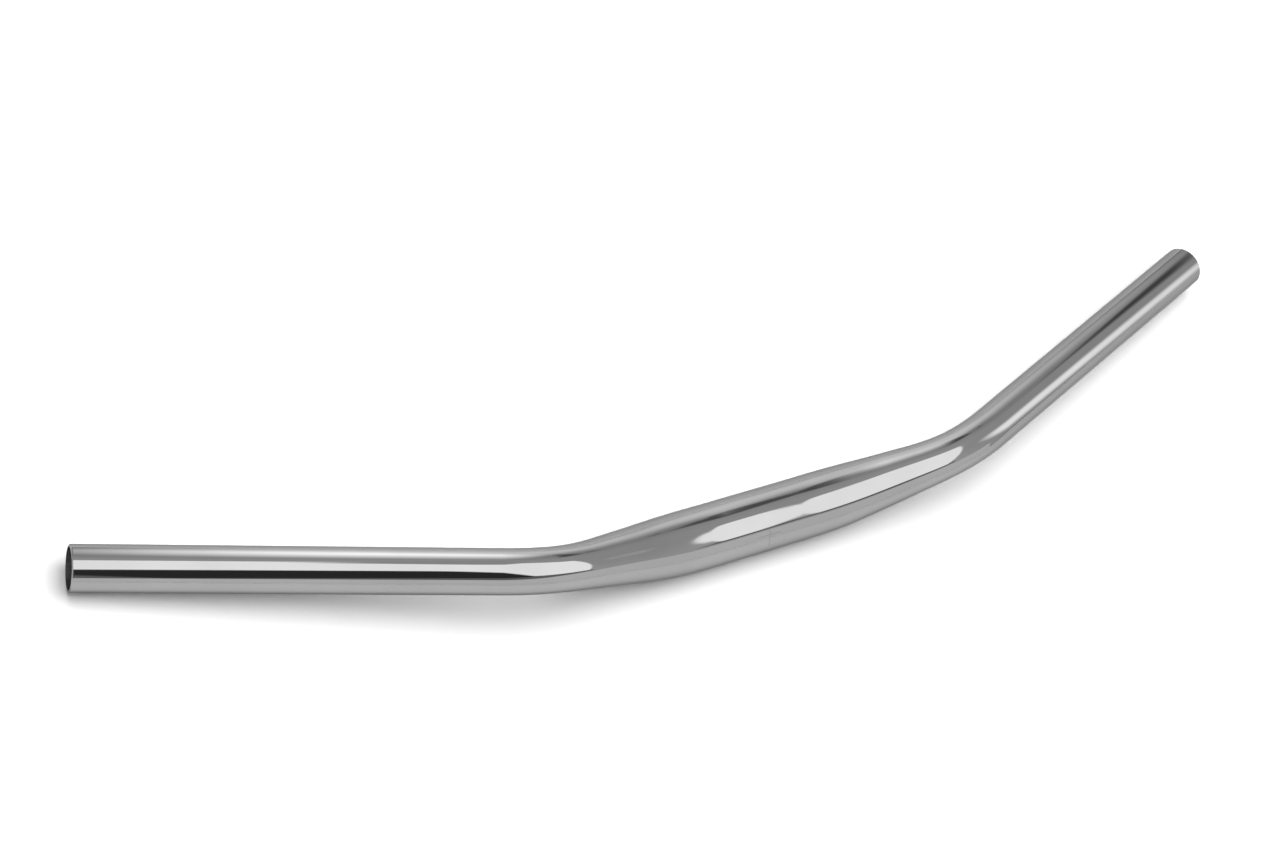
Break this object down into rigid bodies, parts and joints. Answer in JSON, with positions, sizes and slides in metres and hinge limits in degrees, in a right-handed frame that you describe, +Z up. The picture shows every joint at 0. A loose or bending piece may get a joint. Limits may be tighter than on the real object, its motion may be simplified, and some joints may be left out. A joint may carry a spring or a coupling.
{
  "type": "bicycle handlebar",
  "caption": "Low-rise bicycle handlebar: a hollow polished metal tube with a fat straight clamp zone, tapered rises and thin swept-back grips with open ends.",
  "frame": {"origin": "centre of the clamp zone, on its axis", "axes": "+X along the clamp axis to the rider's left, +Y back towards the rider, +Z up from the surface that the bar rests on"},
  "size_m": [0.6792, 0.0991, 0.0434],
  "materials": {
    "polished_metal": "polished bright metal outside, dull dark metal inside the bore"
  },
  "bodies": {
    "root": {"handlebar": "polished_metal"}
  },
  "joints": []
}
